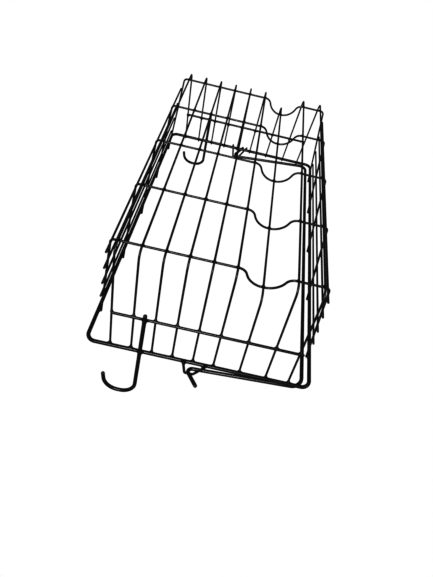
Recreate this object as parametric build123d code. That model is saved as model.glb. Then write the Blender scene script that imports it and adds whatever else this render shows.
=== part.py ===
from build123d import *
import os
from math import acos, asin, atan2, cos, hypot, radians, sin, sqrt, tan

# Hang-on wire basket with a swinging bail handle. Every piece is a bent steel
# rod, welded where it crosses the next one and then coated.
# Frame: origin on the ground plane under the centre of the rim, +X along the
# basket's length towards its back end, +Y across its width towards the floor
# groove, +Z up. The lengthwise floor wires rest on Z = 0.

os.makedirs("parts", exist_ok=True)

# ---- rod gauges (radii) ----
RIM_R = 2.0  # rim, hooks and handle
BAR_R = 1.4  # end bars
RIB_R = 1.1  # cross ribs
WIRE_R = 1.05  # floor wires and side wires
EYE_R = 1.35  # handle eyes
WELD = 0.15  # how far two crossing rods sink into each other
EYE_WELD = 0.1  # the same for the short handle eyes

# ---- basket ----
RIM_HALF_L = 200.3  # rim rod centreline, half the length
RIM_HALF_W = 114.2  # rim rod centreline, half the width
RIM_Z = 112.2  # height of the rim rod's centreline
RIM_CORNER_R = 8.7
FLOOR_HALF_L = 173.7  # where the floor turns up into the end walls
FLOOR_HALF_W = 96.2  # where the floor turns up into the side walls
FLOOR_SHIFT = -1.8  # the floor's centre line sits this far off the rim's, in Y
RIB_X = (-162.6, -83.0, -1.0, 79.8, 156.3)
RIB_CORNER_R = 4.5
WIRE_Y = (-91.2, -70.2, -49.4, -28.7, -7.8, 13.0, 39.6, 66.2, 89.4)
WIRE_BEND_R = 10.0
LEG_FAN = 1.015  # the end legs spread a little towards the rim
FRONT_LEG_SHIFT = 1.9  # and those of the front end lean to +Y
SIDE_WIRE_F = (0.168, 0.362, 0.566, 0.753)  # heights, as parts of RIM_Z
SIDE_WIRE_OVERHANG = 2.4
END_BAR_Z = 70.7
END_BAR_OVERHANG_FRONT = (-0.3, 3.3)  # past the outermost floor wires, -Y and +Y ends
END_BAR_OVERHANG_BACK = (1.6, -0.3)

# ---- groove in the floor, for a cross tube under the basket ----
GROOVE_WIRE = 6  # index of the floor wire that runs along its top
GROOVE_H = 17.6
GROOVE_HALF_FOOT = 19.8
GROOVE_HALF_TOP = 12.5
GROOVE_TOP_R = 18.3
GROOVE_FOOT_R = 8.4

# ---- hanging hooks ----
HOOK_Y = -59.1
HOOK_BEND_R = 16.6
HOOK_TOP = 58.4  # rod centreline at the top of the bend, above the rim's
HOOK_TIP_DROP = 3.6
HOOK_FOOT = 49.7  # lower end, below the rim's centreline
HOOK_SIDE_LEAN = 0.02
HOOK_FLARE = 1.2  # the free tip opens outwards by this much
HOOK_ROUND = 0.94  # bend radii as a part of HOOK_BEND_R

# ---- handle eyes: open trapezoids of wire on the outside of the rim ----
EYE_FOOT_Y = (-14.6, 6.1)
EYE_TOP_Y = (-11.7, -3.0)
EYE_TOP = 17.4
EYE_TAIL = 2.4  # leg ends below the rim's centreline
EYE_BEND_R = 2.2

# ---- bail handle ----
PIVOT_Y = -8.3
PIVOT_H = 13.3  # pivot axis above the rim's centreline
ARM_INSET = 0.85  # arms inside the rim's end rods
ARM_END_H = 4.55  # arm centreline over the rim, just short of the corner
GRIP_Y = 107.3
HANDLE_CORNER_R = 11.2
HANDLE_BEND_R = 4.0
TAIL = (14.2, 9.6, -3.1)  # free tail: outwards, along the arm, square to both


def rod(name, points, radii, r, closed=False, round_ends=True):
    """One bent rod: straight runs joined by tangent arcs, swept with a circle."""
    if len(points) == 2:
        path = Line(points[0], points[1])
    else:
        path = FilletPolyline(*points, radius=radii, close=closed)
    start = Plane(origin=path @ 0, z_dir=path % 0)
    solid = sweep(start * Circle(r), path=path)
    if round_ends and not closed:
        solid = solid + Pos(*points[0]) * Sphere(r) + Pos(*points[-1]) * Sphere(r)
    solids = solid.solids()
    expected = 3.14159265 * r * r * path.length
    print(f"{name}: {len(solids)} solid, {path.length:.1f} mm of rod, volume {solid.volume:.1f}, section x length {expected:.1f}")
    solid = solids[0]
    solid.label = name
    export_step(solid, f"parts/{name}.step")
    return solid


def leaning_line(corner, centre, gap):
    """A straight leg in a vertical plane that starts at corner and passes a rod
    centred at centre on its inner side, gap away. Both points are (out, up).
    Returns the unit direction and the length to the point beside the rod."""
    du, dv = centre[0] - corner[0], centre[1] - corner[1]
    dist = hypot(du, dv)
    out_angle = atan2(du, dv) - asin(gap / dist)
    return (sin(out_angle), cos(out_angle)), sqrt(dist * dist - gap * gap)


# ---- rim ----
rod(
    "rim",
    [
        (-RIM_HALF_L, -RIM_HALF_W, RIM_Z),
        (RIM_HALF_L, -RIM_HALF_W, RIM_Z),
        (RIM_HALF_L, RIM_HALF_W, RIM_Z),
        (-RIM_HALF_L, RIM_HALF_W, RIM_Z),
    ],
    RIM_CORNER_R,
    RIM_R,
    closed=True,
)

# ---- floor wires: down one end wall, along the floor, up the other ----
end_dir, end_len = leaning_line((FLOOR_HALF_L, WIRE_R), (RIM_HALF_L, RIM_Z), RIM_R + WIRE_R - WELD)
end_len += 0.6


def end_leg(z):
    """How far out the end wall's wires are at height z."""
    return FLOOR_HALF_L + end_dir[0] / end_dir[1] * (z - WIRE_R)


LEG_TOP_Z = WIRE_R + end_dir[1] * end_len
LEG_TOP_X = FLOOR_HALF_L + end_dir[0] * end_len
for i, y in enumerate(WIRE_Y):
    z = WIRE_R + (GROOVE_H if i == GROOVE_WIRE else 0.0)
    rod(
        f"floor_wire_{i + 1}",
        [
            (-LEG_TOP_X, y * LEG_FAN + FRONT_LEG_SHIFT, LEG_TOP_Z),
            (-end_leg(z), y, z),
            (end_leg(z), y, z),
            (LEG_TOP_X, y * LEG_FAN, LEG_TOP_Z),
        ],
        WIRE_BEND_R,
        WIRE_R,
    )

# ---- cross ribs: U-shaped, on top of the floor wires ----
RIB_Z = WIRE_R + WIRE_R + RIB_R - WELD
walls = {}
for sign in (-1, 1):
    foot_y = FLOOR_HALF_W + sign * FLOOR_SHIFT
    direction, length = leaning_line((foot_y, RIB_Z), (RIM_HALF_W, RIM_Z), RIM_R + RIB_R - WELD)
    length += 0.6
    top = (foot_y + direction[0] * length, RIB_Z + direction[1] * length)
    walls[sign] = (foot_y, direction, top)
groove_y = WIRE_Y[GROOVE_WIRE]
for i, x in enumerate(RIB_X):
    rod(
        f"cross_rib_{i + 1}",
        [
            (x, -walls[-1][2][0], walls[-1][2][1]),
            (x, -walls[-1][0], RIB_Z),
            (x, groove_y - GROOVE_HALF_FOOT, RIB_Z),
            (x, groove_y - GROOVE_HALF_TOP, RIB_Z + GROOVE_H),
            (x, groove_y + GROOVE_HALF_TOP, RIB_Z + GROOVE_H),
            (x, groove_y + GROOVE_HALF_FOOT, RIB_Z),
            (x, walls[1][0], RIB_Z),
            (x, walls[1][2][0], walls[1][2][1]),
        ],
        [RIB_CORNER_R, GROOVE_FOOT_R, GROOVE_TOP_R, GROOVE_TOP_R, GROOVE_FOOT_R, RIB_CORNER_R],
        RIB_R,
    )

# ---- side wires: along the outside of the ribs' legs ----
for side, sign in (("left", -1), ("right", 1)):
    foot_y, side_dir, _ = walls[sign]
    for i, f in enumerate(SIDE_WIRE_F):
        z = f * RIM_Z
        out = RIB_R + WIRE_R - WELD
        y = foot_y + side_dir[0] / side_dir[1] * (z - RIB_Z) + out * side_dir[1]
        z -= out * side_dir[0]
        rod(
            f"side_wire_{side}_{i + 1}",
            [
                (RIB_X[0] - SIDE_WIRE_OVERHANG, sign * y, z),
                (RIB_X[-1] + SIDE_WIRE_OVERHANG, sign * y, z),
            ],
            None,
            WIRE_R,
        )

# ---- end bars: across the outside of the end walls ----
bar_out = BAR_R + WIRE_R - WELD
bar_x = end_leg(END_BAR_Z) + bar_out * end_dir[1]
bar_z = END_BAR_Z - bar_out * end_dir[0]
for end, sign, over in (("front", -1, END_BAR_OVERHANG_FRONT), ("back", 1, END_BAR_OVERHANG_BACK)):
    shift = FRONT_LEG_SHIFT * 0.6 if sign < 0 else 0.0
    rod(
        f"end_bar_{end}",
        [
            (sign * bar_x, WIRE_Y[0] + shift - over[0], bar_z),
            (sign * bar_x, WIRE_Y[-1] + shift + over[1], bar_z),
        ],
        None,
        BAR_R,
    )

# ---- hooks: welded across the outside of each end bar and of the rim ----
rim_touch = (
    RIM_HALF_L + (2 * RIM_R - WELD) * end_dir[1],
    RIM_Z - (2 * RIM_R - WELD) * end_dir[0],
)
bar_touch = (
    bar_x + (BAR_R + RIM_R - WELD) * end_dir[1],
    bar_z - (BAR_R + RIM_R - WELD) * end_dir[0],
)
hook_slope = (rim_touch[0] - bar_touch[0]) / (rim_touch[1] - bar_touch[1])


def hook_point(sign, y, h):
    """A point of the hook's plane, h above the rim's centreline."""
    return (sign * (rim_touch[0] + hook_slope * (RIM_Z + h - rim_touch[1])), y, RIM_Z + h)


for end, sign in (("front", -1), ("back", 1)):
    h0 = HOOK_TOP - HOOK_BEND_R
    y0 = HOOK_Y - HOOK_SIDE_LEAN * h0
    rod(
        f"hang_hook_{end}",
        [
            hook_point(sign, HOOK_Y + HOOK_SIDE_LEAN * HOOK_FOOT, -HOOK_FOOT),
            hook_point(sign, y0 - HOOK_SIDE_LEAN * HOOK_BEND_R, HOOK_TOP),
            hook_point(sign, y0 - 2 * HOOK_BEND_R + HOOK_FLARE, HOOK_TOP),
            hook_point(sign, y0 - 2 * HOOK_BEND_R - HOOK_FLARE, h0 - HOOK_TIP_DROP),
        ],
        HOOK_BEND_R * HOOK_ROUND,
        RIM_R,
    )

# ---- handle eyes ----
eye_x = RIM_HALF_L + RIM_R + EYE_R - EYE_WELD
for end, sign in (("front", -1), ("back", 1)):
    k0 = (EYE_FOOT_Y[0] - EYE_TOP_Y[0]) / EYE_TOP
    k1 = (EYE_FOOT_Y[1] - EYE_TOP_Y[1]) / EYE_TOP
    rod(
        f"handle_eye_{end}",
        [
            (sign * eye_x, EYE_FOOT_Y[0] + k0 * EYE_TAIL, RIM_Z - EYE_TAIL),
            (sign * eye_x, EYE_TOP_Y[0], RIM_Z + EYE_TOP),
            (sign * eye_x, EYE_TOP_Y[1], RIM_Z + EYE_TOP),
            (sign * eye_x, EYE_FOOT_Y[1] + k1 * EYE_TAIL, RIM_Z - EYE_TAIL),
        ],
        EYE_BEND_R,
        EYE_R,
    )

# ---- bail handle: U-shaped, its ends bent out through the eyes and back ----
tail_len = sqrt(sum(v * v for v in TAIL))
tail_dir = tuple(v / tail_len for v in TAIL)
inner_angle = acos(tail_dir[1])
setback = HANDLE_BEND_R / tan(inner_angle / 2)
# the arm sits above the axis by the drop of the bend, so that the rod crosses
# each eye's plane on the pivot axis
lift = -HANDLE_BEND_R * tail_dir[2] / hypot(tail_dir[0], tail_dir[2])
arm_run = 95.0 - PIVOT_Y
arm_angle = atan2(PIVOT_H + lift - ARM_END_H, arm_run)
grip_run = (GRIP_Y - PIVOT_Y) / cos(arm_angle)


def handle_point(sign, out, along, square):
    """Out of the basket's end, along the arm from the pivot, and square to both."""
    return (
        sign * (RIM_HALF_L - ARM_INSET + out),
        PIVOT_Y + along * cos(arm_angle) + square * sin(arm_angle),
        RIM_Z + PIVOT_H - along * sin(arm_angle) + square * cos(arm_angle),
    )


bend = (0.0, HANDLE_BEND_R - setback, lift)
reach = setback + tail_len
tip = tuple(b + reach * d for b, d in zip(bend, tail_dir))
rod(
    "carry_handle",
    [
        handle_point(-1, *tip),
        handle_point(-1, *bend),
        handle_point(-1, 0.0, grip_run, lift),
        handle_point(1, 0.0, grip_run, lift),
        handle_point(1, *bend),
        handle_point(1, *tip),
    ],
    [HANDLE_BEND_R, HANDLE_CORNER_R, HANDLE_CORNER_R, HANDLE_BEND_R],
    RIM_R,
)
for sign, (foot_y, direction, _) in walls.items():
    print(f"end wall slope {end_dir[0] / end_dir[1]:.4f}, side wall {sign:+d} slope {direction[0] / direction[1]:.4f}")
print(f"hook slope {hook_slope:.4f}, arm angle {arm_angle * 57.29578:.3f} deg, lift {lift:.3f}")
print(f"pivot axis y {PIVOT_Y:.3f} z {RIM_Z + PIVOT_H:.3f}, eye plane x {eye_x:.3f}")
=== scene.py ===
from math import acos, asin, atan2, cos, hypot, sin, sqrt, tan

import bmesh
import bpy
import numpy as np
from mathutils import Matrix, Vector


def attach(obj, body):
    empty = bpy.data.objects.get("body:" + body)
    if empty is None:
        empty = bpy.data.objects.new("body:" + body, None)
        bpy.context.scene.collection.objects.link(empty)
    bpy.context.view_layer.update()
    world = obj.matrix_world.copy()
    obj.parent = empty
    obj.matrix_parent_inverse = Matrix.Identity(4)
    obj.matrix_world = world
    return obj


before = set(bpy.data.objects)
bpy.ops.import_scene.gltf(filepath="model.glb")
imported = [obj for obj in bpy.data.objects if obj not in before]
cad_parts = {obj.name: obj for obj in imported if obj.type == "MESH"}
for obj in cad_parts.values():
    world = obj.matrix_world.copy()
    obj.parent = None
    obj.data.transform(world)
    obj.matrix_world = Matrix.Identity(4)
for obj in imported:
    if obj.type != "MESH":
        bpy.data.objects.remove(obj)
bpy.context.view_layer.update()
scene = bpy.context.scene

# ---------------------------------------------------------------- camera
# It looks up at the basket's floor, and is rolled so that the floor is at the
# top of the picture.
CAM_RIGHT = Vector((0.15416944, 0.97479748, -0.16125026))
CAM_DOWN = Vector((-0.75238317, 0.22160797, 0.62033014))
CAM_FORWARD = Vector((0.6404306, 0.02568603, 0.76758639))
CAM_POS = Vector((-0.40630915, -0.01330664, -0.25296445))
FOCAL, CENTRE_X, CENTRE_Y, WIDTH, HEIGHT = 412.925, 212.38, 289.53, 433.0, 577.0

cam_data = bpy.data.cameras.new("camera")
cam_data.sensor_fit = "HORIZONTAL"
cam_data.sensor_width = 36.0
cam_data.lens = FOCAL * 36.0 / WIDTH
# the frame's long side is the one that the shift is measured in
cam_data.shift_x = (WIDTH / 2 - CENTRE_X) / WIDTH
cam_data.shift_y = (CENTRE_Y - HEIGHT / 2) / WIDTH
cam_data.clip_start = 0.01
cam_data.clip_end = 60.0
camera = bpy.data.objects.new("camera", cam_data)
scene.collection.objects.link(camera)
up, back = -CAM_DOWN, -CAM_FORWARD
camera.matrix_world = Matrix(
    (
        (CAM_RIGHT.x, up.x, back.x, CAM_POS.x),
        (CAM_RIGHT.y, up.y, back.y, CAM_POS.y),
        (CAM_RIGHT.z, up.z, back.z, CAM_POS.z),
        (0, 0, 0, 1),
    )
)
scene.camera = camera
scene.view_settings.view_transform = "Standard"
scene.view_settings.gamma = 0.66

# ------------------------------------------ the rods' centrelines, in mm
# The same layout as the CAD model's, so that each weld is dressed exactly
# where two rods cross.
RODS = {}

# ---- rod gauges (radii) ----
RIM_R = 2.0  # rim, hooks and handle
BAR_R = 1.4  # end bars
RIB_R = 1.1  # cross ribs
WIRE_R = 1.05  # floor wires and side wires
EYE_R = 1.35  # handle eyes
WELD = 0.15  # how far two crossing rods sink into each other
EYE_WELD = 0.1  # the same for the short handle eyes

# ---- basket ----
RIM_HALF_L = 200.3  # rim rod centreline, half the length
RIM_HALF_W = 114.2  # rim rod centreline, half the width
RIM_Z = 112.2  # height of the rim rod's centreline
RIM_CORNER_R = 8.7
FLOOR_HALF_L = 173.7  # where the floor turns up into the end walls
FLOOR_HALF_W = 96.2  # where the floor turns up into the side walls
FLOOR_SHIFT = -1.8  # the floor's centre line sits this far off the rim's, in Y
RIB_X = (-162.6, -83.0, -1.0, 79.8, 156.3)
RIB_CORNER_R = 4.5
WIRE_Y = (-91.2, -70.2, -49.4, -28.7, -7.8, 13.0, 39.6, 66.2, 89.4)
WIRE_BEND_R = 10.0
LEG_FAN = 1.015  # the end legs spread a little towards the rim
FRONT_LEG_SHIFT = 1.9  # and those of the front end lean to +Y
SIDE_WIRE_F = (0.168, 0.362, 0.566, 0.753)  # heights, as parts of RIM_Z
SIDE_WIRE_OVERHANG = 2.4
END_BAR_Z = 70.7
END_BAR_OVERHANG_FRONT = (-0.3, 3.3)  # past the outermost floor wires, -Y and +Y ends
END_BAR_OVERHANG_BACK = (1.6, -0.3)

# ---- groove in the floor, for a cross tube under the basket ----
GROOVE_WIRE = 6  # index of the floor wire that runs along its top
GROOVE_H = 17.6
GROOVE_HALF_FOOT = 19.8
GROOVE_HALF_TOP = 12.5
GROOVE_TOP_R = 18.3
GROOVE_FOOT_R = 8.4

# ---- hanging hooks ----
HOOK_Y = -59.1
HOOK_BEND_R = 16.6
HOOK_TOP = 58.4  # rod centreline at the top of the bend, above the rim's
HOOK_TIP_DROP = 3.6
HOOK_FOOT = 49.7  # lower end, below the rim's centreline
HOOK_SIDE_LEAN = 0.02
HOOK_FLARE = 1.2  # the free tip opens outwards by this much
HOOK_ROUND = 0.94  # bend radii as a part of HOOK_BEND_R

# ---- handle eyes: open trapezoids of wire on the outside of the rim ----
EYE_FOOT_Y = (-14.6, 6.1)
EYE_TOP_Y = (-11.7, -3.0)
EYE_TOP = 17.4
EYE_TAIL = 2.4  # leg ends below the rim's centreline
EYE_BEND_R = 2.2

# ---- bail handle ----
PIVOT_Y = -8.3
PIVOT_H = 13.3  # pivot axis above the rim's centreline
ARM_INSET = 0.85  # arms inside the rim's end rods
ARM_END_H = 4.55  # arm centreline over the rim, just short of the corner
GRIP_Y = 107.3
HANDLE_CORNER_R = 11.2
HANDLE_BEND_R = 4.0
TAIL = (14.2, 9.6, -3.1)  # free tail: outwards, along the arm, square to both


def rod(name, points, radii, r, closed=False, round_ends=True):
    """Records a rod's centreline, with its bends as short chords, in mm."""
    pts = [np.array(p, float) for p in points]
    n = len(pts)
    if n > 2 and not hasattr(radii, "__iter__"):
        radii = [radii] * (n if closed else n - 2)
    line = []
    for i, p in enumerate(pts):
        if not closed and i in (0, n - 1):
            line.append(p)
            continue
        u, v = pts[i - 1] - p, pts[(i + 1) % n] - p
        u /= np.linalg.norm(u)
        v /= np.linalg.norm(v)
        bend = radii[i] if closed else radii[i - 1]
        half = acos(max(-1.0, min(1.0, float(u @ v)))) / 2
        mid = (u + v) / np.linalg.norm(u + v)
        centre = p + mid * bend / sin(half)
        s = (p + u * bend / tan(half) - centre) / bend
        t = (p + v * bend / tan(half) - centre) / bend
        turn = acos(max(-1.0, min(1.0, float(s @ t))))
        for k in range(13):
            f = k / 12
            line.append(centre + bend * (sin((1 - f) * turn) * s + sin(f * turn) * t) / sin(turn))
    if closed:
        line.append(line[0])
    RODS[name] = (np.array(line), r)


def leaning_line(corner, centre, gap):
    """A straight leg in a vertical plane that starts at corner and passes a rod
    centred at centre on its inner side, gap away. Both points are (out, up).
    Returns the unit direction and the length to the point beside the rod."""
    du, dv = centre[0] - corner[0], centre[1] - corner[1]
    dist = hypot(du, dv)
    out_angle = atan2(du, dv) - asin(gap / dist)
    return (sin(out_angle), cos(out_angle)), sqrt(dist * dist - gap * gap)


# ---- rim ----
rod(
    "rim",
    [
        (-RIM_HALF_L, -RIM_HALF_W, RIM_Z),
        (RIM_HALF_L, -RIM_HALF_W, RIM_Z),
        (RIM_HALF_L, RIM_HALF_W, RIM_Z),
        (-RIM_HALF_L, RIM_HALF_W, RIM_Z),
    ],
    RIM_CORNER_R,
    RIM_R,
    closed=True,
)

# ---- floor wires: down one end wall, along the floor, up the other ----
end_dir, end_len = leaning_line((FLOOR_HALF_L, WIRE_R), (RIM_HALF_L, RIM_Z), RIM_R + WIRE_R - WELD)
end_len += 0.6


def end_leg(z):
    """How far out the end wall's wires are at height z."""
    return FLOOR_HALF_L + end_dir[0] / end_dir[1] * (z - WIRE_R)


LEG_TOP_Z = WIRE_R + end_dir[1] * end_len
LEG_TOP_X = FLOOR_HALF_L + end_dir[0] * end_len
for i, y in enumerate(WIRE_Y):
    z = WIRE_R + (GROOVE_H if i == GROOVE_WIRE else 0.0)
    rod(
        f"floor_wire_{i + 1}",
        [
            (-LEG_TOP_X, y * LEG_FAN + FRONT_LEG_SHIFT, LEG_TOP_Z),
            (-end_leg(z), y, z),
            (end_leg(z), y, z),
            (LEG_TOP_X, y * LEG_FAN, LEG_TOP_Z),
        ],
        WIRE_BEND_R,
        WIRE_R,
    )

# ---- cross ribs: U-shaped, on top of the floor wires ----
RIB_Z = WIRE_R + WIRE_R + RIB_R - WELD
walls = {}
for sign in (-1, 1):
    foot_y = FLOOR_HALF_W + sign * FLOOR_SHIFT
    direction, length = leaning_line((foot_y, RIB_Z), (RIM_HALF_W, RIM_Z), RIM_R + RIB_R - WELD)
    length += 0.6
    top = (foot_y + direction[0] * length, RIB_Z + direction[1] * length)
    walls[sign] = (foot_y, direction, top)
groove_y = WIRE_Y[GROOVE_WIRE]
for i, x in enumerate(RIB_X):
    rod(
        f"cross_rib_{i + 1}",
        [
            (x, -walls[-1][2][0], walls[-1][2][1]),
            (x, -walls[-1][0], RIB_Z),
            (x, groove_y - GROOVE_HALF_FOOT, RIB_Z),
            (x, groove_y - GROOVE_HALF_TOP, RIB_Z + GROOVE_H),
            (x, groove_y + GROOVE_HALF_TOP, RIB_Z + GROOVE_H),
            (x, groove_y + GROOVE_HALF_FOOT, RIB_Z),
            (x, walls[1][0], RIB_Z),
            (x, walls[1][2][0], walls[1][2][1]),
        ],
        [RIB_CORNER_R, GROOVE_FOOT_R, GROOVE_TOP_R, GROOVE_TOP_R, GROOVE_FOOT_R, RIB_CORNER_R],
        RIB_R,
    )

# ---- side wires: along the outside of the ribs' legs ----
for side, sign in (("left", -1), ("right", 1)):
    foot_y, side_dir, _ = walls[sign]
    for i, f in enumerate(SIDE_WIRE_F):
        z = f * RIM_Z
        out = RIB_R + WIRE_R - WELD
        y = foot_y + side_dir[0] / side_dir[1] * (z - RIB_Z) + out * side_dir[1]
        z -= out * side_dir[0]
        rod(
            f"side_wire_{side}_{i + 1}",
            [
                (RIB_X[0] - SIDE_WIRE_OVERHANG, sign * y, z),
                (RIB_X[-1] + SIDE_WIRE_OVERHANG, sign * y, z),
            ],
            None,
            WIRE_R,
        )

# ---- end bars: across the outside of the end walls ----
bar_out = BAR_R + WIRE_R - WELD
bar_x = end_leg(END_BAR_Z) + bar_out * end_dir[1]
bar_z = END_BAR_Z - bar_out * end_dir[0]
for end, sign, over in (("front", -1, END_BAR_OVERHANG_FRONT), ("back", 1, END_BAR_OVERHANG_BACK)):
    shift = FRONT_LEG_SHIFT * 0.6 if sign < 0 else 0.0
    rod(
        f"end_bar_{end}",
        [
            (sign * bar_x, WIRE_Y[0] + shift - over[0], bar_z),
            (sign * bar_x, WIRE_Y[-1] + shift + over[1], bar_z),
        ],
        None,
        BAR_R,
    )

# ---- hooks: welded across the outside of each end bar and of the rim ----
rim_touch = (
    RIM_HALF_L + (2 * RIM_R - WELD) * end_dir[1],
    RIM_Z - (2 * RIM_R - WELD) * end_dir[0],
)
bar_touch = (
    bar_x + (BAR_R + RIM_R - WELD) * end_dir[1],
    bar_z - (BAR_R + RIM_R - WELD) * end_dir[0],
)
hook_slope = (rim_touch[0] - bar_touch[0]) / (rim_touch[1] - bar_touch[1])


def hook_point(sign, y, h):
    """A point of the hook's plane, h above the rim's centreline."""
    return (sign * (rim_touch[0] + hook_slope * (RIM_Z + h - rim_touch[1])), y, RIM_Z + h)


for end, sign in (("front", -1), ("back", 1)):
    h0 = HOOK_TOP - HOOK_BEND_R
    y0 = HOOK_Y - HOOK_SIDE_LEAN * h0
    rod(
        f"hang_hook_{end}",
        [
            hook_point(sign, HOOK_Y + HOOK_SIDE_LEAN * HOOK_FOOT, -HOOK_FOOT),
            hook_point(sign, y0 - HOOK_SIDE_LEAN * HOOK_BEND_R, HOOK_TOP),
            hook_point(sign, y0 - 2 * HOOK_BEND_R + HOOK_FLARE, HOOK_TOP),
            hook_point(sign, y0 - 2 * HOOK_BEND_R - HOOK_FLARE, h0 - HOOK_TIP_DROP),
        ],
        HOOK_BEND_R * HOOK_ROUND,
        RIM_R,
    )

# ---- handle eyes ----
eye_x = RIM_HALF_L + RIM_R + EYE_R - EYE_WELD
for end, sign in (("front", -1), ("back", 1)):
    k0 = (EYE_FOOT_Y[0] - EYE_TOP_Y[0]) / EYE_TOP
    k1 = (EYE_FOOT_Y[1] - EYE_TOP_Y[1]) / EYE_TOP
    rod(
        f"handle_eye_{end}",
        [
            (sign * eye_x, EYE_FOOT_Y[0] + k0 * EYE_TAIL, RIM_Z - EYE_TAIL),
            (sign * eye_x, EYE_TOP_Y[0], RIM_Z + EYE_TOP),
            (sign * eye_x, EYE_TOP_Y[1], RIM_Z + EYE_TOP),
            (sign * eye_x, EYE_FOOT_Y[1] + k1 * EYE_TAIL, RIM_Z - EYE_TAIL),
        ],
        EYE_BEND_R,
        EYE_R,
    )

# ---- bail handle: U-shaped, its ends bent out through the eyes and back ----
tail_len = sqrt(sum(v * v for v in TAIL))
tail_dir = tuple(v / tail_len for v in TAIL)
inner_angle = acos(tail_dir[1])
setback = HANDLE_BEND_R / tan(inner_angle / 2)
# the arm sits above the axis by the drop of the bend, so that the rod crosses
# each eye's plane on the pivot axis
lift = -HANDLE_BEND_R * tail_dir[2] / hypot(tail_dir[0], tail_dir[2])
arm_run = 95.0 - PIVOT_Y
arm_angle = atan2(PIVOT_H + lift - ARM_END_H, arm_run)
grip_run = (GRIP_Y - PIVOT_Y) / cos(arm_angle)


def handle_point(sign, out, along, square):
    """Out of the basket's end, along the arm from the pivot, and square to both."""
    return (
        sign * (RIM_HALF_L - ARM_INSET + out),
        PIVOT_Y + along * cos(arm_angle) + square * sin(arm_angle),
        RIM_Z + PIVOT_H - along * sin(arm_angle) + square * cos(arm_angle),
    )


bend = (0.0, HANDLE_BEND_R - setback, lift)
reach = setback + tail_len
tip = tuple(b + reach * d for b, d in zip(bend, tail_dir))
rod(
    "carry_handle",
    [
        handle_point(-1, *tip),
        handle_point(-1, *bend),
        handle_point(-1, 0.0, grip_run, lift),
        handle_point(1, 0.0, grip_run, lift),
        handle_point(1, *bend),
        handle_point(1, *tip),
    ],
    [HANDLE_BEND_R, HANDLE_CORNER_R, HANDLE_CORNER_R, HANDLE_BEND_R],
    RIM_R,
)

# ------------------------------------------- coating fillets at the welds
MM = 0.001


def resample(line, step):
    run = np.r_[0, np.cumsum(np.linalg.norm(np.diff(line, axis=0), axis=1))]
    t = np.linspace(0, run[-1], max(2, int(run[-1] / step) + 1))
    return np.stack([np.interp(t, run, line[:, k]) for k in range(3)], 1)


def crossings(first, second):
    """Where two rods touch: one (point on first, point on second) for each place."""
    (pa, ra), (pb, rb) = RODS[first], RODS[second]
    qa, qb = resample(pa, 0.8), resample(pb, 0.8)
    gap = np.empty(len(qa))
    near = np.empty(len(qa), int)
    for i in range(0, len(qa), 200):
        d = np.linalg.norm(qa[i : i + 200, None] - qb[None], axis=2)
        near[i : i + 200] = d.argmin(1)
        gap[i : i + 200] = d.min(1)
    out, i = [], 0
    close = gap < ra + rb + 0.45
    while i < len(qa):
        if close[i]:
            j = i
            while j < len(qa) and close[j]:
                j += 1
            k = i + int(gap[i:j].argmin())
            out.append((qa[k], qb[near[k]]))
            i = j
        i += 1
    return out


def to_line(points, line, centre, reach):
    """Distance of every point to the nearby part of a centreline."""
    a, b = line[:-1], line[1:]
    ab = b - a
    s = np.clip(((centre - a) * ab).sum(1) / (ab**2).sum(1), 0, 1)
    keep = np.linalg.norm(a + ab * s[:, None] - centre, axis=1) < reach
    best = np.full(len(points), 1e9)
    for p, d in zip(a[keep], ab[keep]):
        v = points - p
        t = np.clip(v @ d / (d @ d), 0, 1)
        best = np.minimum(best, np.linalg.norm(v - t[:, None] * d, axis=1))
    return best


def net(field, origin, cell):
    """Surface of field < 0 on a grid: (vertices, quads)."""
    nx, ny, nz = field.shape
    inside = field < 0
    total = np.zeros((nx - 1, ny - 1, nz - 1, 3))
    count = np.zeros((nx - 1, ny - 1, nz - 1))
    for axis in range(3):
        lo = [slice(None)] * 3
        hi = [slice(None)] * 3
        lo[axis], hi[axis] = slice(0, -1), slice(1, None)
        f0, f1 = field[tuple(lo)], field[tuple(hi)]
        cross = (f0 < 0) != (f1 < 0)
        t = np.where(cross, f0 / np.where(cross, f0 - f1, 1.0), 0.0)
        grid = np.stack(np.meshgrid(*[np.arange(n) for n in f0.shape], indexing="ij"), -1).astype(float)
        grid[..., axis] += t
        others = [k for k in range(3) if k != axis]
        for du in (0, 1):
            for dv in (0, 1):
                src = [slice(None)] * 3
                dst = [slice(None)] * 3
                for k, dk in zip(others, (du, dv)):
                    n = field.shape[k]
                    src[k] = slice(dk, n - 1 + dk)
                c = cross[tuple(src)]
                total[c] += grid[tuple(src)][c]
                count[c] += 1
    used = count > 0
    index = np.full(used.shape, -1)
    index[used] = np.arange(used.sum())
    verts = origin + cell * total[used] / count[used][:, None]
    quads = []
    for axis in range(3):
        lo = [slice(None)] * 3
        hi = [slice(None)] * 3
        lo[axis], hi[axis] = slice(0, -1), slice(1, None)
        i0, i1 = inside[tuple(lo)], inside[tuple(hi)]
        where = np.argwhere(i0 != i1)
        u, v = [k for k in range(3) if k != axis]
        ok = (where[:, u] > 0) & (where[:, v] > 0) & (where[:, u] < field.shape[u] - 1) & (where[:, v] < field.shape[v] - 1)
        where = where[ok]
        ring = []
        for du, dv in ((0, 0), (-1, 0), (-1, -1), (0, -1)):
            w = where.copy()
            w[:, u] += du
            w[:, v] += dv
            ring.append(index[w[:, 0], w[:, 1], w[:, 2]])
        q = np.stack(ring, 1)
        flip = i0[where[:, 0], where[:, 1], where[:, 2]]
        if axis == 1:
            flip = ~flip
        q[flip] = q[flip][:, ::-1]
        quads.append(q)
    return verts, np.concatenate(quads)


rng = np.random.default_rng(7)


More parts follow.
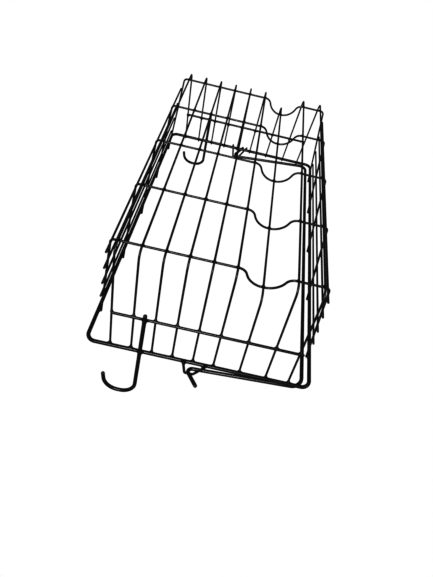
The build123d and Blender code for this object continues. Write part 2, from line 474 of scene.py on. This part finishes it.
def fillet_mesh(first, second, pa, pb, blend, cell, top):
    """The coating that gathers in the corner of two crossing rods: a smooth
    union of both, hidden just under their surfaces everywhere else."""
    (la, ra), (lb, rb) = RODS[first], RODS[second]
    centre = (pa * rb + pb * ra) / (ra + rb)
    blend = blend * rng.uniform(0.88, 1.14)
    reach = max(ra, rb) + 1.15 * blend + 0.9
    n = int(2 * reach / cell) + 2
    origin = centre - cell * (n - 1) / 2 + cell * rng.uniform(-0.2, 0.2, 3)
    axis = np.arange(n) * cell
    grid = np.stack(np.meshgrid(axis, axis, axis, indexing="ij"), -1) + origin
    flat = grid.reshape(-1, 3)
    sink = 0.055
    da = to_line(flat, la, centre, reach + 6) - (ra - sink)
    db = to_line(flat, lb, centre, reach + 6) - (rb - sink)
    h = np.maximum(blend - np.abs(da - db), 0) / blend
    f = np.minimum(da, db) - h * h * h * blend / 6
    # a little unevenness, as the coating ran before it set
    w = rng.uniform(-1, 1, 3)
    f += 0.035 * h * np.sin(flat @ (w * 2.2) + rng.uniform(0, 6))
    ball = np.linalg.norm(flat - centre, axis=1) - (reach - cell * 1.2)
    f = np.maximum(f, ball)
    # it stops below the handle's arms
    f = np.maximum(f, flat[:, 2] - top)
    return net(f.reshape(n, n, n), origin, cell)


def dress(name, pairs, blend, cell, material, top=1e6):
    verts, quads, at = [], [], 0
    for first, second in pairs:
        for pa, pb in crossings(first, second):
            v, q = fillet_mesh(first, second, pa, pb, blend, cell, top)
            verts.append(v)
            quads.append(q + at)
            at += len(v)
    verts, quads = np.concatenate(verts) * MM, np.concatenate(quads)
    me = bpy.data.meshes.new(name)
    me.from_pydata(verts.tolist(), [], quads.tolist())
    me.validate()
    bm = bmesh.new()
    bm.from_mesh(me)
    bmesh.ops.recalc_face_normals(bm, faces=bm.faces)
    bmesh.ops.smooth_vert(bm, verts=bm.verts, factor=0.35, use_axis_x=True, use_axis_y=True, use_axis_z=True)
    bm.to_mesh(me)
    bm.free()
    me.polygons.foreach_set("use_smooth", np.ones(len(me.polygons), bool))
    me.materials.append(material)
    o = bpy.data.objects.new(name, me)
    scene.collection.objects.link(o)
    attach(o, "basket")
    return o


# ------------------------------------------------------------- materials
def new_material(name):
    m = bpy.data.materials.new(name)
    m.use_nodes = True
    nt = m.node_tree
    nt.nodes.clear()
    out = nt.nodes.new("ShaderNodeOutputMaterial")
    bsdf = nt.nodes.new("ShaderNodeBsdfPrincipled")
    nt.links.new(bsdf.outputs["BSDF"], out.inputs["Surface"])
    return m, nt, bsdf


def noise(nt, coords, scale, detail=3.0, rough=0.55):
    n = nt.nodes.new("ShaderNodeTexNoise")
    n.inputs["Scale"].default_value = scale
    n.inputs["Detail"].default_value = detail
    n.inputs["Roughness"].default_value = rough
    nt.links.new(coords, n.inputs["Vector"])
    return n


def ramp(nt, source, stops):
    r = nt.nodes.new("ShaderNodeValToRGB")
    r.color_ramp.elements[0].position, r.color_ramp.elements[0].color = stops[0]
    r.color_ramp.elements[1].position, r.color_ramp.elements[1].color = stops[-1]
    for pos, col in stops[1:-1]:
        e = r.color_ramp.elements.new(pos)
        e.color = col
    nt.links.new(source, r.inputs["Fac"])
    return r


def coating(name, deep, soft, rub_colour, rough, peel, scale=1.0):
    """Black coating baked on steel rod: uneven gloss, fine orange peel, faint
    cloudiness, small dull rubbed places and the odd pale speck of dust."""
    m, nt, bsdf = new_material(name)
    tc = nt.nodes.new("ShaderNodeTexCoord")
    co = tc.outputs["Object"]
    cloud = noise(nt, co, 42.0 * scale, 4.0)
    rub = noise(nt, co, 120.0 * scale, 5.0, 0.62)
    grain = noise(nt, co, 1500.0 * scale, 2.0)
    dust = noise(nt, co, 780.0 * scale, 1.0, 0.3)
    col = ramp(nt, cloud.outputs["Fac"], [(0.32, (*deep, 1)), (0.70, (*soft, 1))])
    scuff = ramp(nt, rub.outputs["Fac"], [(0.58, (0, 0, 0, 1)), (0.70, (1, 1, 1, 1))])
    mix = nt.nodes.new("ShaderNodeMix")
    mix.data_type = "RGBA"
    nt.links.new(scuff.outputs["Color"], mix.inputs["Factor"])
    nt.links.new(col.outputs["Color"], mix.inputs["A"])
    mix.inputs["B"].default_value = (*rub_colour, 1)
    speck = ramp(nt, dust.outputs["Fac"], [(0.70, (0, 0, 0, 1)), (0.78, (0.55, 0.55, 0.55, 1))])
    mix2 = nt.nodes.new("ShaderNodeMix")
    mix2.data_type = "RGBA"
    nt.links.new(speck.outputs["Color"], mix2.inputs["Factor"])
    nt.links.new(mix.outputs["Result"], mix2.inputs["A"])
    mix2.inputs["B"].default_value = (rub_colour[0] * 2.2, rub_colour[1] * 2.2, rub_colour[2] * 2.1, 1)
    nt.links.new(mix2.outputs["Result"], bsdf.inputs["Base Color"])
    rr = nt.nodes.new("ShaderNodeMapRange")
    rr.inputs["From Min"].default_value = 0.28
    rr.inputs["From Max"].default_value = 0.72
    rr.inputs["To Min"].default_value = rough[0]
    rr.inputs["To Max"].default_value = rough[1]
    nt.links.new(rub.outputs["Fac"], rr.inputs["Value"])
    nt.links.new(rr.outputs["Result"], bsdf.inputs["Roughness"])
    peel_n = noise(nt, co, 520.0 * scale, 2.0, 0.4)
    add = nt.nodes.new("ShaderNodeMath")
    add.operation = "MULTIPLY_ADD"
    nt.links.new(grain.outputs["Fac"], add.inputs[0])
    add.inputs[1].default_value = 0.22
    nt.links.new(peel_n.outputs["Fac"], add.inputs[2])
    bump = nt.nodes.new("ShaderNodeBump")
    bump.inputs["Strength"].default_value = peel
    bump.inputs["Distance"].default_value = 0.0001
    nt.links.new(add.outputs["Value"], bump.inputs["Height"])
    nt.links.new(bump.outputs["Normal"], bsdf.inputs["Normal"])
    bsdf.inputs["Metallic"].default_value = 0.0
    bsdf.inputs["IOR"].default_value = 1.47
    bsdf.inputs["Coat Weight"].default_value = 0.3
    bsdf.inputs["Coat Roughness"].default_value = 0.16
    return m


ROD_MAT = coating(
    "coated_rod", (0.0085, 0.0085, 0.0090), (0.0150, 0.0150, 0.0158), (0.0270, 0.0270, 0.0275), (0.27, 0.42), 0.50
)
WIRE_MAT = coating(
    "coated_wire", (0.0085, 0.0085, 0.0090), (0.0150, 0.0150, 0.0158), (0.0250, 0.0250, 0.0255), (0.30, 0.46), 0.45, 1.25
)

THICK = ("rim", "hang_hook_front", "hang_hook_back", "carry_handle")
for name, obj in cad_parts.items():
    mat = ROD_MAT if name in THICK else WIRE_MAT
    if not obj.material_slots:
        obj.data.materials.append(mat)
    for s in obj.material_slots:
        s.link = "OBJECT"
        s.material = mat

WIRES = [f"floor_wire_{i}" for i in range(1, 10)]
RIBS = [f"cross_rib_{i}" for i in range(1, 6)]
SIDES = [f"side_wire_{s}_{i}" for s in ("left", "right") for i in range(1, 5)]
BARS, HOOKS = ["end_bar_front", "end_bar_back"], ["hang_hook_front", "hang_hook_back"]
EYES = ["handle_eye_front", "handle_eye_back"]
dress("rim_weld_fillets", [(w, "rim") for w in WIRES + RIBS], 5.0, 0.42, ROD_MAT, RIM_Z + 0.6)
dress("end_bar_weld_fillets", [(w, b) for b in BARS for w in WIRES], 4.4, 0.40, WIRE_MAT)
dress("rib_weld_fillets", [(w, r) for r in RIBS for w in WIRES], 3.1, 0.36, WIRE_MAT)
dress("side_wire_weld_fillets", [(s, r) for r in RIBS for s in SIDES], 2.8, 0.36, WIRE_MAT)
dress("hook_bar_weld_fillets", list(zip(HOOKS, BARS)), 4.4, 0.42, ROD_MAT)
dress("hook_rim_weld_fillets", [(h, "rim") for h in HOOKS], 4.4, 0.42, ROD_MAT, RIM_Z + 1.2)
dress("eye_weld_fillets", [(e, "rim") for e in EYES], 4.0, 0.38, WIRE_MAT, RIM_Z + 2.2)


# ----------------------------------------------------- floor and lighting
def plane(name, size, z):
    bm = bmesh.new()
    bmesh.ops.create_grid(bm, x_segments=8, y_segments=8, size=size)
    me = bpy.data.meshes.new(name)
    bm.to_mesh(me)
    bm.free()
    o = bpy.data.objects.new(name, me)
    o.location = (0, 0, z)
    scene.collection.objects.link(o)
    return o


# The basket stands on a plain floor. The floor is one-sided, so the camera
# below it sees the basket's underside.
floor = plane("studio_floor", 12.0, -0.0003)
fm, fnt, fb = new_material("pale_floor")
ftc = fnt.nodes.new("ShaderNodeTexCoord")
fn = noise(fnt, ftc.outputs["Object"], 1.2, 3.0)
fr = ramp(fnt, fn.outputs["Fac"], [(0.3, (0.80, 0.80, 0.80, 1)), (0.7, (0.83, 0.83, 0.83, 1))])
fnt.links.new(fr.outputs["Color"], fb.inputs["Base Color"])
fb.inputs["Roughness"].default_value = 0.85
fb.inputs["Specular IOR Level"].default_value = 0.2
geo = fnt.nodes.new("ShaderNodeNewGeometry")
path = fnt.nodes.new("ShaderNodeLightPath")
either = fnt.nodes.new("ShaderNodeMath")
either.operation = "MAXIMUM"
fnt.links.new(geo.outputs["Backfacing"], either.inputs[0])
fnt.links.new(path.outputs["Is Shadow Ray"], either.inputs[1])
# further out it fades into the studio's white
far = fnt.nodes.new("ShaderNodeVectorMath")
far.operation = "LENGTH"
fnt.links.new(ftc.outputs["Object"], far.inputs[0])
fade = fnt.nodes.new("ShaderNodeMapRange")
fade.interpolation_type = "SMOOTHSTEP"
fade.inputs["From Min"].default_value = 0.40
fade.inputs["From Max"].default_value = 1.25
fnt.links.new(far.outputs["Value"], fade.inputs["Value"])
any_of = fnt.nodes.new("ShaderNodeMath")
any_of.operation = "MAXIMUM"
fnt.links.new(either.outputs[0], any_of.inputs[0])
fnt.links.new(fade.outputs["Result"], any_of.inputs[1])
clear = fnt.nodes.new("ShaderNodeBsdfTransparent")
fmix = fnt.nodes.new("ShaderNodeMixShader")
fnt.links.new(any_of.outputs[0], fmix.inputs[0])
fnt.links.new(fb.outputs["BSDF"], fmix.inputs[1])
fnt.links.new(clear.outputs[0], fmix.inputs[2])
fout = [n for n in fnt.nodes if n.type == "OUTPUT_MATERIAL"][0]
fnt.links.new(fmix.outputs[0], fout.inputs["Surface"])
floor.data.materials.append(fm)
floor.visible_diffuse = False
floor.visible_glossy = False

world = bpy.data.worlds.new("studio")
scene.world = world
world.use_nodes = True
wnt = world.node_tree
wnt.nodes.clear()
wout = wnt.nodes.new("ShaderNodeOutputWorld")
soft_bg = wnt.nodes.new("ShaderNodeBackground")
soft_bg.inputs["Color"].default_value = (1.0, 1.0, 1.0, 1)
soft_bg.inputs["Strength"].default_value = 0.11
seen_bg = wnt.nodes.new("ShaderNodeBackground")
seen_bg.inputs["Color"].default_value = (1.0, 1.0, 1.0, 1)
seen_bg.inputs["Strength"].default_value = 1.0
lp = wnt.nodes.new("ShaderNodeLightPath")
wm = wnt.nodes.new("ShaderNodeMixShader")
wnt.links.new(lp.outputs["Is Camera Ray"], wm.inputs[0])
wnt.links.new(soft_bg.outputs[0], wm.inputs[1])
wnt.links.new(seen_bg.outputs[0], wm.inputs[2])
wnt.links.new(wm.outputs[0], wout.inputs["Surface"])


def area(name, loc, target, size, power, gloss=True):
    ld = bpy.data.lights.new(name, "AREA")
    ld.shape = "RECTANGLE"
    ld.size = size
    ld.size_y = size
    ld.energy = power
    o = bpy.data.objects.new(name, ld)
    o.location = loc
    o.rotation_euler = (Vector(target) - Vector(loc)).to_track_quat("-Z", "Y").to_euler()
    o.visible_camera = False
    o.visible_glossy = gloss
    scene.collection.objects.link(o)
    return o


area("key_under", (-0.80, -0.10, -0.66), (0, 0, 0.06), 0.34, 6.5)
area("spark_under", (-0.86, -0.02, -0.70), (-0.17, 0, 0.0), 0.07, 1.0)
area("fill_under", (-0.30, 0.95, -0.80), (0, 0, 0.06), 0.6, 1.8)
area("key_over", (-0.7, -1.0, 1.6), (0, 0, 0.06), 1.1, 44.0, False)
area("fill_over", (1.1, 0.9, 1.4), (0, 0, 0.06), 1.0, 24.0, False)
area("sheen_over", (1.0, -0.7, 1.1), (0, 0, 0.06), 0.7, 1.6)
